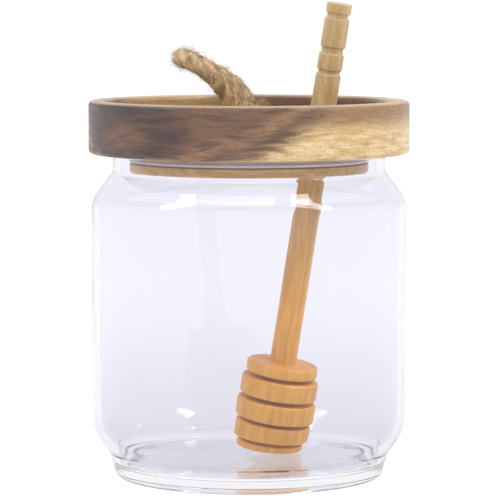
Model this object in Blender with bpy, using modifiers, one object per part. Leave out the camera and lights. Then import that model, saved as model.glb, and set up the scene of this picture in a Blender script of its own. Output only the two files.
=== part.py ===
"""Glass honey pot: a clear jar, a turned wooden lid with a rope loop, and a honey dipper.

The dipper stands in the empty jar and leans out through a hole in the lid. Sizes are in
metres and +Z is up. The origin is the middle of the jar's foot, on the table.
"""

import math

import bpy
from mathutils import Vector

MM = 0.001
GAP = 0.3 * MM  # clearance left between two pieces that touch

# Jar: outer sizes, with one wall thickness all over. Heights are above the table.
BODY_RADIUS = 49.15 * MM
NECK_RADIUS = 42.5 * MM
FOOT_TOP_RADIUS = 43.8 * MM
FOOT_RADIUS = 41.75 * MM
RING_INNER_RADIUS = 38.0 * MM
HOLLOW_RADIUS = 37.0 * MM
WALL = 2.4 * MM
SHOULDER_TOP = 95.3 * MM
SHOULDER_BOTTOM = 86.6 * MM
SLOPE_TOP = 14.7 * MM
SLOPE_BOTTOM = 7.1 * MM
FLOOR_TOP = 4.3 * MM

# Jar: roundings of its outer side; those of the inside follow from the wall
SHOULDER_ROUNDING = 7.0 * MM
NECK_ROUNDING = 2.0 * MM
SLOPE_ROUNDING = 15.5 * MM
FOOT_TOP_ROUNDING = 0.8 * MM
FOOT_ROUNDING = 1.4 * MM
FLOOR_ROUNDING = 3.0 * MM
RING_ROUNDING = 0.8 * MM
LIP_ROUNDING = 1.1 * MM

# Lid, in one piece of wood with a sunk top
LID_RADIUS = 50.0 * MM
LID_BOTTOM = 100.9 * MM
LID_TOP = 117.4 * MM
RIM_THICKNESS = 5.3 * MM
RECESS_DEPTH = 8.0 * MM
EDGE_ROUNDING = 1.5 * MM

# Plug: the paler disc under the lid, with a groove for the seal
PLUG_RADIUS = 37.25 * MM
PLUG_BOTTOM = 95.1 * MM
PLUG_FLANGE_TOP = 98.0 * MM
PLUG_GROOVE_RADIUS = 34.4 * MM

# Seal: a soft ring with two lips that reach for the neck
SEAL_RADIUS = 36.5 * MM
SEAL_LIP_RADIUS = 39.75 * MM
SEAL_LIP_THICKNESS = 0.5 * MM
SEAL_LIP_HEIGHTS = (98.85 * MM, 99.95 * MM)

# Holes through the lid: one for the rope, one for the dipper
ROPE_HOLE_RADIUS = 6.6 * MM
DIPPER_HOLE_RADIUS = 5.7 * MM

# Dipper: it runs from its foot, just above the jar's floor, to its top outside
DIPPER_FOOT = Vector((6.3, 3.8, 6.4)) * MM
DIPPER_TOP = Vector((28.0, -6.8, 147.5)) * MM
SHAFT_RADIUS = 4.15 * MM
SHAFT_TOP_RADIUS = 3.9 * MM
HEAD_CORE_RADIUS = 6.0 * MM
DISC_ROUNDING = 0.9 * MM
# Each disc of the head: its start and end above the foot, and its radius
HEAD_DISCS = (
    (0.0 * MM, 2.6 * MM, 10.5 * MM),
    (3.8 * MM, 9.8 * MM, 11.8 * MM),
    (10.9 * MM, 17.0 * MM, 12.35 * MM),
    (18.2 * MM, 24.1 * MM, 12.1 * MM),
    (25.2 * MM, 28.9 * MM, 11.2 * MM),
)
# Each groove turned in the handle: its start and end below the top, and its radius
HANDLE_GROOVES = (
    (2.9 * MM, 5.0 * MM, 3.3 * MM),
    (13.5 * MM, 16.0 * MM, 3.33 * MM),
    (20.6 * MM, 22.4 * MM, 3.36 * MM),
)
GROOVE_SLOPE = 0.5 * MM

# Rope: one length whose two ends go down into the lid's middle hole
ROPE_RADIUS = 2.75 * MM
ROPE_ROUTE = (
    (-2.95, 0.0, 101.5),
    (-2.95, 0.0, 106.0),
    (-3.0, -0.2, 109.6),
    (-3.7, -1.6, 112.6),
    (-4.9, -4.0, 115.6),
    (-6.3, -6.6, 118.6),
    (-8.4, -9.0, 121.8),
    (-11.4, -10.6, 125.3),
    (-15.2, -10.6, 128.2),
    (-18.6, -8.3, 129.9),
    (-20.5, -4.4, 130.4),
    (-21.1, 0.0, 130.6),
    (-20.5, 4.4, 130.5),
    (-18.4, 8.3, 129.7),
    (-15.0, 10.6, 127.9),
    (-11.2, 10.6, 125.6),
    (-7.3, 9.2, 123.7),
    (-3.9, 7.0, 121.0),
    (-1.5, 4.6, 117.8),
    (0.8, 2.4, 114.2),
    (2.5, 0.7, 110.6),
    (2.95, 0.0, 106.0),
    (2.95, 0.0, 101.5),
)
ROPE_POINTS = 40

JAR_SIDES = 64
LID_SIDES = 64
PLUG_SIDES = 48
DIPPER_SIDES = 28
CUTTER_SIDES = 32


def clear_scene():
    """Removes what the scene starts with."""
    for obj in list(bpy.data.objects):
        bpy.data.objects.remove(obj)


def collection(name):
    """A new collection in the scene."""
    made = bpy.data.collections.new(name)
    bpy.context.scene.collection.children.link(made)
    return made


def material(name, colour, roughness, transmission=0.0, ior=1.5):
    """A plain Principled material."""
    made = bpy.data.materials.new(name)
    made.use_nodes = True
    shader = made.node_tree.nodes["Principled BSDF"]
    shader.inputs["Base Color"].default_value = (*colour, 1.0)
    shader.inputs["Roughness"].default_value = roughness
    shader.inputs["Metallic"].default_value = 0.0
    shader.inputs["Transmission Weight"].default_value = transmission
    shader.inputs["IOR"].default_value = ior
    return made


def rounded(corners, segments=2):
    """The outline through (radius, height, rounding) corners, each rounded corner as an arc."""
    outline = []
    for i, (radius, height, rounding) in enumerate(corners):
        corner = Vector((radius, height))
        if rounding == 0.0:
            outline.append(corner)
            continue
        before = Vector(corners[i - 1][:2]) - corner
        after = Vector(corners[(i + 1) % len(corners)][:2]) - corner
        before.normalize()
        after.normalize()
        half = before.angle(after) / 2
        centre = corner + (before + after).normalized() * rounding / math.sin(half)
        start = corner + before * rounding / math.tan(half) - centre
        end = corner + after * rounding / math.tan(half) - centre
        turn = start.angle_signed(end)
        for step in range(segments + 1):
            angle = -turn * step / segments
            cos, sin = math.cos(angle), math.sin(angle)
            arm = Vector((start.x * cos - start.y * sin, start.x * sin + start.y * cos))
            outline.append(centre + arm)
    return outline


def turned(name, outline, sides, finish, home, closed=False):
    """An object made by spinning an outline once round its own Z axis."""
    mesh = bpy.data.meshes.new(name)
    count = len(outline)
    edges = [(i, i + 1) for i in range(count - 1)]
    if closed:
        edges.append((count - 1, 0))
    mesh.from_pydata([(point.x, 0.0, point.y) for point in outline], edges, [])
    mesh.materials.append(finish)
    obj = bpy.data.objects.new(name, mesh)
    home.objects.link(obj)
    screw = obj.modifiers.new("turn", "SCREW")
    screw.axis = "Z"
    screw.steps = sides
    screw.render_steps = sides
    screw.use_merge_vertices = True
    screw.merge_threshold = 0.05 * MM
    screw.use_smooth_shade = True
    return obj


def drill(obj, name, place, radius, bottom, top, home):
    """Cuts an upright round hole, with its cutter kept as a hidden helper."""
    bpy.ops.mesh.primitive_cylinder_add(
        vertices=CUTTER_SIDES,
        radius=radius,
        depth=top - bottom,
        location=(place.x, place.y, (top + bottom) / 2),
    )
    cutter = bpy.context.active_object
    cutter.name = name
    for owner in list(cutter.users_collection):
        owner.objects.unlink(cutter)
    home.objects.link(cutter)
    cutter.hide_render = True
    cutter.display_type = "WIRE"
    hole = obj.modifiers.new(name, "BOOLEAN")
    hole.operation = "DIFFERENCE"
    hole.solver = "EXACT"
    hole.object = cutter


def inner_corner(before, corner, after):
    """Where the inside turns: the outer corner moved in by the wall, square to both its runs."""
    corner = Vector(corner)
    first = (corner - Vector(before)).normalized()
    second = (Vector(after) - corner).normalized()
    normals = Vector((-first.y, first.x)) + Vector((-second.y, second.x))
    return corner - normals.normalized() * WALL / math.cos(first.angle(second) / 2)


def jar_outline():
    """The jar's section, from the middle of its floor up the inside, over the rim and down."""
    rim = LID_BOTTOM - GAP
    inner_neck = NECK_RADIUS - WALL
    neck = (NECK_RADIUS, SHOULDER_TOP)
    shoulder = (BODY_RADIUS, SHOULDER_BOTTOM)
    slope = (BODY_RADIUS, SLOPE_TOP)
    foot_top = (FOOT_TOP_RADIUS, SLOPE_BOTTOM)
    foot = (FOOT_RADIUS, 0.0)
    inner_foot_top = inner_corner(slope, foot_top, foot)
    down = inner_foot_top.y - FLOOR_TOP
    inner_floor = inner_foot_top.x - down * (FOOT_TOP_RADIUS - FOOT_RADIUS) / SLOPE_BOTTOM
    return rounded(
        (
            (0.0, FLOOR_TOP, 0.0),
            (inner_floor, FLOOR_TOP, FLOOR_ROUNDING),
            (*inner_foot_top, FOOT_TOP_ROUNDING),
            (*inner_corner(shoulder, slope, foot_top), SLOPE_ROUNDING - WALL),
            (*inner_corner(neck, shoulder, slope), SHOULDER_ROUNDING - WALL),
            (*inner_corner((NECK_RADIUS, rim), neck, shoulder), NECK_ROUNDING + WALL),
            (inner_neck, rim, LIP_ROUNDING),
            (NECK_RADIUS, rim, LIP_ROUNDING),
            (*neck, NECK_ROUNDING),
            (*shoulder, SHOULDER_ROUNDING),
            (*slope, SLOPE_ROUNDING),
            (*foot_top, FOOT_TOP_ROUNDING),
            (*foot, FOOT_ROUNDING),
            (RING_INNER_RADIUS, 0.0, RING_ROUNDING),
            (HOLLOW_RADIUS, FLOOR_TOP - WALL, RING_ROUNDING),
            (0.0, FLOOR_TOP - WALL, 0.0),
        )
    )


def lid_outline():
    """The lid's section, from the middle of its sunk top out over the rim and underneath."""
    inner = LID_RADIUS - RIM_THICKNESS
    recess = LID_TOP - RECESS_DEPTH
    return rounded(
        (
            (0.0, recess, 0.0),
            (inner, recess, EDGE_ROUNDING),
            (inner, LID_TOP, EDGE_ROUNDING),
            (LID_RADIUS, LID_TOP, EDGE_ROUNDING),
            (LID_RADIUS, LID_BOTTOM, EDGE_ROUNDING),
            (0.0, LID_BOTTOM, 0.0),
        )
    )


def plug_outline():
    """The plug's section: a flange below, and a narrower neck that carries the seal."""
    return rounded(
        (
            (0.0, LID_BOTTOM - GAP, 0.0),
            (PLUG_GROOVE_RADIUS, LID_BOTTOM - GAP, 0.0),
            (PLUG_GROOVE_RADIUS, PLUG_FLANGE_TOP, 0.0),
            (PLUG_RADIUS, PLUG_FLANGE_TOP, 0.4 * MM),
            (PLUG_RADIUS, PLUG_BOTTOM, 0.9 * MM),
            (0.0, PLUG_BOTTOM, 0.0),
        )
    )


def seal_outline():
    """The seal's section: a band with a thin lip at each height."""
    inner = PLUG_GROOVE_RADIUS + GAP
    bottom = PLUG_FLANGE_TOP + GAP
    top = LID_BOTTOM - GAP
    half = SEAL_LIP_THICKNESS / 2
    corners = [(inner, top, 0.0), (SEAL_RADIUS, top, 0.0)]
    for height in reversed(SEAL_LIP_HEIGHTS):
        corners += [
            (SEAL_RADIUS, height + half, 0.0),
            (SEAL_LIP_RADIUS, height + half / 2, 0.0),
            (SEAL_LIP_RADIUS, height - half / 2, 0.0),
            (SEAL_RADIUS, height - half, 0.0),
        ]
    corners += [(SEAL_RADIUS, bottom, 0.0), (inner, bottom, 0.0)]
    return rounded(corners)


def dipper_outline(length):
    """The dipper's section along its own axis, from its top down to its foot."""
    handle = SHAFT_TOP_RADIUS
    corners = [(0.0, length, 0.0), (handle, length, 0.5 * MM)]
    for start, end, radius in HANDLE_GROOVES:
        corners += [
            (handle, length - start, 0.0),
            (radius, length - start - GROOVE_SLOPE, 0.0),
            (radius, length - end + GROOVE_SLOPE, 0.0),
            (handle, length - end, 0.0),
        ]
    head_top = HEAD_DISCS[-1][1]
    corners += [(SHAFT_RADIUS, length / 2, 0.0), (SHAFT_RADIUS, head_top, 0.0)]
    for i, (start, end, radius) in reversed(list(enumerate(HEAD_DISCS))):
        if i < len(HEAD_DISCS) - 1:
            corners.append((HEAD_CORE_RADIUS, end, 0.0))
        corners += [(radius, end, DISC_ROUNDING), (radius, start, DISC_ROUNDING)]
        corners.append((HEAD_CORE_RADIUS if i else 0.0, start, 0.0))
    return rounded(corners)


def smooth_route(points, count):
    """Evenly numbered points on one smooth curve through the route's own points."""
    knots = [Vector(point) * MM for point in points]
    knots = [2 * knots[0] - knots[1], *knots, 2 * knots[-1] - knots[-2]]
    spans = len(knots) - 3
    route = []
    for i in range(count):
        along = i * spans / (count - 1)
        span = min(int(along), spans - 1)
        t = along - span
        a, b, c, d = knots[span : span + 4]
        route.append(
            0.5
            * (
                2 * b
                + (c - a) * t
                + (2 * a - 5 * b + 4 * c - d) * t * t
                + (3 * b - a - 3 * c + d) * t * t * t
            )
        )
    return route


def rope(name, finish, home):
    """The rope as one round tube along its route."""
    curve = bpy.data.curves.new(name, "CURVE")
    curve.dimensions = "3D"
    curve.bevel_depth = ROPE_RADIUS
    curve.bevel_resolution = 3
    curve.use_fill_caps = True
    spline = curve.splines.new("POLY")
    route = smooth_route(ROPE_ROUTE, ROPE_POINTS)
    spline.points.add(len(route) - 1)
    for point, place in zip(spline.points, route):
        point.co = (*place, 1.0)
    curve.materials.append(finish)
    obj = bpy.data.objects.new(name, curve)
    home.objects.link(obj)
    return obj


def build():
    """Makes every piece of the honey pot."""
    clear_scene()
    pot = collection("honey pot")
    cutters = collection("cutters")
    origin = bpy.data.objects.new("honey_pot_origin", None)
    pot.objects.link(origin)

    glass = material("clear glass", (0.96, 0.97, 1.0), 0.02, transmission=1.0)
    acacia = material("acacia wood", (0.26, 0.15, 0.09), 0.45)
    plug_wood = material("pale turned wood", (0.42, 0.24, 0.12), 0.5)
    silicone = material("grey silicone", (0.55, 0.52, 0.58), 0.4)
    dipper_wood = material("dipper wood", (0.58, 0.34, 0.15), 0.5)
    jute = material("jute rope", (0.42, 0.31, 0.19), 0.9)

    lean = DIPPER_TOP - DIPPER_FOOT
    jar = turned("glass_jar", jar_outline(), JAR_SIDES, glass, pot)
    lid = turned("lid", lid_outline(), LID_SIDES, acacia, pot)
    plug = turned("lid_plug", plug_outline(), PLUG_SIDES, plug_wood, pot)
    seal = turned("seal_ring", seal_outline(), PLUG_SIDES, silicone, pot, closed=True)
    dipper = turned("dipper", dipper_outline(lean.length), DIPPER_SIDES, dipper_wood, pot)
    dipper.location = DIPPER_FOOT
    dipper.rotation_mode = "QUATERNION"
    dipper.rotation_quaternion = Vector((0.0, 0.0, 1.0)).rotation_difference(lean)
    loop = rope("rope_loop", jute, pot)

    through = 3.0 * MM
    drill(
        lid,
        "rope_hole_cutter",
        Vector((0.0, 0.0, 0.0)),
        ROPE_HOLE_RADIUS,
        LID_BOTTOM - through,
        LID_TOP + through,
        cutters,
    )
    half_way = (PLUG_BOTTOM + LID_TOP - RECESS_DEPTH) / 2
    crossing = DIPPER_FOOT + lean * (half_way - DIPPER_FOOT.z) / lean.z
    for piece in (lid, plug):
        drill(
            piece,
            f"dipper_hole_cutter_{piece.name}",
            crossing,
            DIPPER_HOLE_RADIUS,
            PLUG_BOTTOM - through,
            LID_TOP + through,
            cutters,
        )
    for piece in (jar, lid, plug, seal, dipper, loop):
        piece.parent = origin


build()
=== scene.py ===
"""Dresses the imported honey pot: clear glass jar, acacia lid, plug, seal, dipper and rope loop.

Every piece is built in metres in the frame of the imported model, at the place where its
solid is. Each sub-assembly is a class with its sizes as fields, each finish is a small
class that builds one material, and the studio holds the floor, the lights and the camera.
"""

import logging
import math
import random
from dataclasses import dataclass, field
from enum import Enum
from typing import Callable, ClassVar, Union

import bmesh
import bpy
from mathutils import Matrix, Quaternion, Vector, noise


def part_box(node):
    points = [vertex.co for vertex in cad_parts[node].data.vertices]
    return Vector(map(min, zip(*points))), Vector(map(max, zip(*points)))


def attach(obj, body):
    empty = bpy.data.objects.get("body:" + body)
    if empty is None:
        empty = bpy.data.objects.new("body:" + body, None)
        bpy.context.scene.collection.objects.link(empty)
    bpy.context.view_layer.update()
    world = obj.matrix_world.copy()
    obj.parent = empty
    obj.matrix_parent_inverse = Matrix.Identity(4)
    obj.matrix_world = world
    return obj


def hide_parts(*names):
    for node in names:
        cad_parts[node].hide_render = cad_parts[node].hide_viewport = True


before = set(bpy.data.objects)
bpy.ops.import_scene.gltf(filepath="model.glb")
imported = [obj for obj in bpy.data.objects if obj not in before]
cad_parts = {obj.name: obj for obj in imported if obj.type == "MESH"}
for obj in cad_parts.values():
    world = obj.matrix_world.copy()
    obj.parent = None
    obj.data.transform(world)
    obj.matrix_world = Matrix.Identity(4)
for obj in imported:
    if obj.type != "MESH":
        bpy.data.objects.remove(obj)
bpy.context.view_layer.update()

LOG = logging.getLogger("honey_pot")
MM = 0.001
BODY = "root"
FIBRE_MAP = "fibre_map"
ROPE_HOLE_RADIUS = 6.6 * MM
DIPPER_HOLE_RADIUS = 5.7 * MM
QUARTERS = (0.0, 0.25, 0.5, 0.75, 1.0)
TIGHT = 0.002 * MM

Socket = bpy.types.NodeSocket
Node = bpy.types.Node
NodeTree = bpy.types.NodeTree
Material = bpy.types.Material
Object = bpy.types.Object
BMesh = bmesh.types.BMesh
Colour = tuple[float, float, float]
Span = tuple[float, float]
Value = Union[Socket, float]
Paint = Union[Socket, Colour]
Pieces = list[Object]
Maps = Callable[[int, int], list[Span]]


class Slot(Enum):
    """The record's material slots."""

    JAR = "jar_glass"
    LID = "lid_wood"
    PLUG = "plug_wood"
    SEAL = "seal_silicone"
    DIPPER = "dipper_wood"
    ROPE = "rope_jute"


class Sharpness(Enum):
    """How a turned piece is shaded: the steepest turn between faces that still looks smooth."""

    ALL_SMOOTH = 180.0
    CRISP_EDGES = 32.0


# Shader graphs


class Graph:
    """Adds nodes to one node tree and joins them."""

    def __init__(self, tree: NodeTree) -> None:
        """Takes the tree to fill."""
        self.tree = tree

    def add(self, kind: str, **settings: object) -> Node:
        """Adds a node.

        Args:
            kind: the node's type name, without its ShaderNode start.
            settings: properties to set on it.

        Returns:
            The new node.
        """
        node = self.tree.nodes.new("ShaderNode" + kind)
        for name, value in settings.items():
            setattr(node, name, value)
        return node

    def feed(self, target: Socket, value: Value | tuple) -> None:
        """Links a socket to the target, or sets the target's own value."""
        if isinstance(value, Socket):
            self.tree.links.new(value, target)
        else:
            target.default_value = value

    def wire(self, node: Node, **inputs: Value | tuple) -> Node:
        """Feeds a node's named inputs, with _ for a space.

        Args:
            node: the node.
            inputs: a value or a link for each input.

        Returns:
            The same node.
        """
        for name, value in inputs.items():
            self.feed(node.inputs[name.replace("_", " ")], value)
        return node

    def math(self, operation: str, a: Value, b: Value = 0.0) -> Socket:
        """The result of a Math node."""
        node = self.add("Math", operation=operation)
        for socket, value in zip(node.inputs, (a, b)):
            self.feed(socket, value)
        return node.outputs[0]

    def plus(self, a: Value, b: Value) -> Socket:
        """The sum of two values."""
        return self.math("ADD", a, b)

    def minus(self, a: Value, b: Value) -> Socket:
        """The first value less the second."""
        return self.math("SUBTRACT", a, b)

    def times(self, a: Value, b: Value) -> Socket:
        """The product of two values."""
        return self.math("MULTIPLY", a, b)

    def swing(self, value: Socket, reach: float) -> Socket:
        """A value from 0 to 1 moved to lie round 0, and made this wide."""
        return self.times(self.minus(value, 0.5), reach)

    def step(
        self, value: Socket, low: float, high: float, start: float = 0.0, end: float = 1.0
    ) -> Socket:
        """A smooth step of the value, from start at low to end at high."""
        node = self.add("MapRange", interpolation_type="SMOOTHSTEP")
        self.wire(node, Value=value, From_Min=low, From_Max=high, To_Min=start, To_Max=end)
        return node.outputs["Result"]

    def mix(self, factor: Value, a: Paint, b: Paint, blend: str = "MIX") -> Socket:
        """A mix of two colours."""
        node = self.add("Mix", data_type="RGBA", blend_type=blend)
        self.feed(node.inputs[0], factor)
        for socket, value in ((node.inputs[6], a), (node.inputs[7], b)):
            self.feed(socket, value if isinstance(value, Socket) else (*value, 1.0))
        return node.outputs[2]

    def noise(
        self, vector: Socket, scale: float, detail: float = 3.0, roughness: float = 0.55
    ) -> Socket:
        """The value of a 3D noise."""
        node = self.add("TexNoise")
        self.wire(node, Vector=vector, Scale=scale, Detail=detail, Roughness=roughness)
        return node.outputs["Fac"]

    def stretched(
        self, vector: Socket, stretch: Colour, detail: float = 3.0, roughness: float = 0.55
    ) -> Socket:
        """The value of a 3D noise with its own scale along each axis."""
        return self.noise(self.mapped(vector, scale=stretch), 1.0, detail, roughness)

    def mapped(self, vector: Socket, scale: Colour = (1, 1, 1), turn: Colour = (0, 0, 0)) -> Socket:
        """The vector scaled, then turned."""
        node = self.add("Mapping")
        return self.wire(node, Vector=vector, Scale=scale, Rotation=turn).outputs["Vector"]

    def length(self, vector: Socket) -> Socket:
        """The vector's length."""
        node = self.add("VectorMath", operation="LENGTH")
        self.feed(node.inputs[0], vector)
        return node.outputs["Value"]

    def object_mm(self) -> Socket:
        """Object coordinates in millimetres."""
        return self.mapped(self.add("TexCoord").outputs["Object"], scale=(1000.0, 1000.0, 1000.0))

    def split(self, vector: Socket) -> tuple[Socket, Socket, Socket]:
        """The vector's three parts."""
        node = self.add("SeparateXYZ")
        self.feed(node.inputs[0], vector)
        return node.outputs[0], node.outputs[1], node.outputs[2]

    def bump(self, height: Socket, strength: float, distance: float) -> Socket:
        """A normal bent by a height.

        Args:
            height: the relief, from 0 to 1.
            strength: how much of the relief shows.
            distance: how high a relief of 1 stands, in metres.

        Returns:
            The normal.
        """
        node = self.add("Bump")
        return self.wire(node, Strength=strength, Distance=distance, Height=height).outputs[0]

    def effect(self, tree: NodeTree, vector: Socket) -> list[Socket]:
        """Places a shared effect and gives its outputs in order."""
        return list(self.wire(self.add("Group", node_tree=tree), Vector=vector).outputs)


def new_material(name: str) -> tuple[Material, Graph, Node]:
    """Makes an empty Principled material.

    Args:
        name: the material's name.

    Returns:
        The material, its graph and its Principled node.
    """
    made = bpy.data.materials.new(name)
    made.use_nodes = True
    return made, Graph(made.node_tree), made.node_tree.nodes["Principled BSDF"]


def new_group(name: str, outputs: tuple[str, ...]) -> tuple[Graph, Socket, dict[str, Socket]]:
    """Makes a shader node group that takes a vector and gives values from 0 to 1.

    Args:
        name: the group's name.
        outputs: the name of each output.

    Returns:
        The group's graph, its vector, and the sockets to feed by name.
    """
    tree = bpy.data.node_groups.new(name, "ShaderNodeTree")
    tree.interface.new_socket("Vector", in_out="INPUT", socket_type="NodeSocketVector")
    for label in outputs:
        tree.interface.new_socket(label, in_out="OUTPUT", socket_type="NodeSocketFloat")
    source = tree.nodes.new("NodeGroupInput")
    sink = tree.nodes.new("NodeGroupOutput")
    return Graph(tree), source.outputs["Vector"], {label: sink.inputs[label] for label in outputs}


@dataclass(frozen=True)
class Pattern:
    """A noise and where it steps up from 0 to 1."""

    stretch: Colour
    detail: float
    roughness: float
    edges: Span

    def draw(self, graph: Graph, vector: Socket) -> Socket:
        """The pattern's value along a vector in millimetres."""
        value = graph.stretched(vector, self.stretch, self.detail, self.roughness)
        return graph.step(value, *self.edges)


def wood_fibre_group() -> NodeTree:
    """Streaks, fine lines and pores of wood whose fibres run along the vector's X, in millimetres.

    Returns:
        The group, with the outputs Streaks, Lines and Pores.
    """
    patterns = {
        "Streaks": Pattern((0.045, 0.55, 0.55), 4.0, 0.6, (0.3, 0.7)),
        "Lines": Pattern((0.09, 2.6, 2.6), 3.0, 0.6, (0.3, 0.72)),
        "Pores": Pattern((0.35, 3.2, 3.2), 1.0, 0.4, (0.66, 0.74)),
    }
    slow_bend, sideways, upwards = (0.05, 0.05, 0.05), 4.0, 6.0
    graph, vector, outs = new_group("wood_fibres", tuple(patterns))
    bend = graph.stretched(vector, slow_bend, 2.0)
    shift = graph.add("CombineXYZ")
    graph.wire(shift, Y=graph.times(bend, sideways), Z=graph.times(bend, upwards))
    bent = graph.add("VectorMath", operation="ADD")
    graph.feed(bent.inputs[0], vector)
    graph.feed(bent.inputs[1], shift.outputs[0])
    for label, pattern in patterns.items():
        graph.feed(outs[label], pattern.draw(graph, bent.outputs[0]))
    return graph.tree


def handling_group() -> NodeTree:
    """Soft smudges and fine dust from handling, for a vector in millimetres.

    Returns:
        The group, with the outputs Smudge and Dust.
    """
    patterns = {
        "Smudge": Pattern((0.11, 0.11, 0.11), 3.0, 0.6, (0.42, 0.68)),
        "Dust": Pattern((2.3, 2.3, 2.3), 2.0, 0.5, (0.62, 0.8)),
    }
    graph, vector, outs = new_group("handling", tuple(patterns))
    for label, pattern in patterns.items():
        graph.feed(outs[label], pattern.draw(graph, vector))
    return graph.tree


@dataclass(frozen=True)
class SharedEffects:
    """The node groups that more than one finish uses."""

    fibres: NodeTree
    handling: NodeTree


# Finishes


@dataclass(frozen=True)
class GlassFinish:
    """Clear glass that lets the studio's lamps through to what stands inside."""

    tint: Colour = (0.892, 0.892, 0.95)
    # The low tint is painted shade towards the base; the foot tint is painted light at the foot.
    low_painted_shade: Colour = (0.80, 0.80, 0.855)
    painted_light_foot_tint: Colour = (0.91, 0.91, 0.945)
    painted_shade_heights: Span = (8.0, 62.0)
    painted_light_foot_heights: Span = (4.6, 8.0)
    # Painted shade at the glass's edges, where it turns away from view.
    painted_edge_shade: Colour = (0.945, 0.945, 0.98)
    painted_edge_facing: Span = (0.58, 0.8)
    ior: float = 1.47
    lamp_tint: Colour = (0.99, 0.99, 1.0)
    smudge_roughness: float = 0.02
    wave_stretch: Colour = (0.06, 0.06, 0.021)
    wave_strength: float = 0.12
    wave_height: float = 0.5 * MM

    def build(self, shared: SharedEffects) -> Material:
        """Builds the material: a painted shade darkens the tint towards the base and a lighter tint
        is painted at the foot, with faint smudges and a blown wall's waves.
        """
        made, graph, shader = new_material("clear_glass")
        place = graph.object_mm()
        height = graph.split(place)[2]
        # Painted shade: the tint darkens down the body towards the base, then is painted lighter at
        # the foot.
        tint = graph.mix(graph.step(height, *self.painted_shade_heights), self.low_painted_shade, self.tint)
        tint = graph.mix(graph.step(height, *self.painted_light_foot_heights), self.painted_light_foot_tint, tint)
        # Painted shade: the tint is multiplied darker where the surface turns away from view.
        edge = graph.step(graph.add("LayerWeight").outputs["Facing"], *self.painted_edge_facing)
        tint = graph.mix(edge, tint, graph.mix(1.0, tint, self.painted_edge_shade, "MULTIPLY"))
        smudge, _ = graph.effect(shared.handling, place)
        waves = graph.stretched(place, self.wave_stretch, 2.0)
        graph.wire(
            shader,
            Base_Color=tint,
            IOR=self.ior,
            Transmission_Weight=1.0,
            Roughness=graph.step(smudge, 0.0, 1.0, 0.0, self.smudge_roughness),
            Normal=graph.bump(waves, self.wave_strength, self.wave_height),
        )
        lamps = graph.wire(graph.add("BsdfTransparent"), Color=(*self.lamp_tint, 1.0))
        shadow_ray = graph.add("LightPath").outputs["Is Shadow Ray"]
        mixed = graph.add("MixShader")
        for socket, value in zip(mixed.inputs, (shadow_ray, shader.outputs[0], lamps.outputs[0])):
            graph.feed(socket, value)
        graph.feed(made.node_tree.nodes["Material Output"].inputs["Surface"], mixed.outputs[0])
        return made


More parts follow.
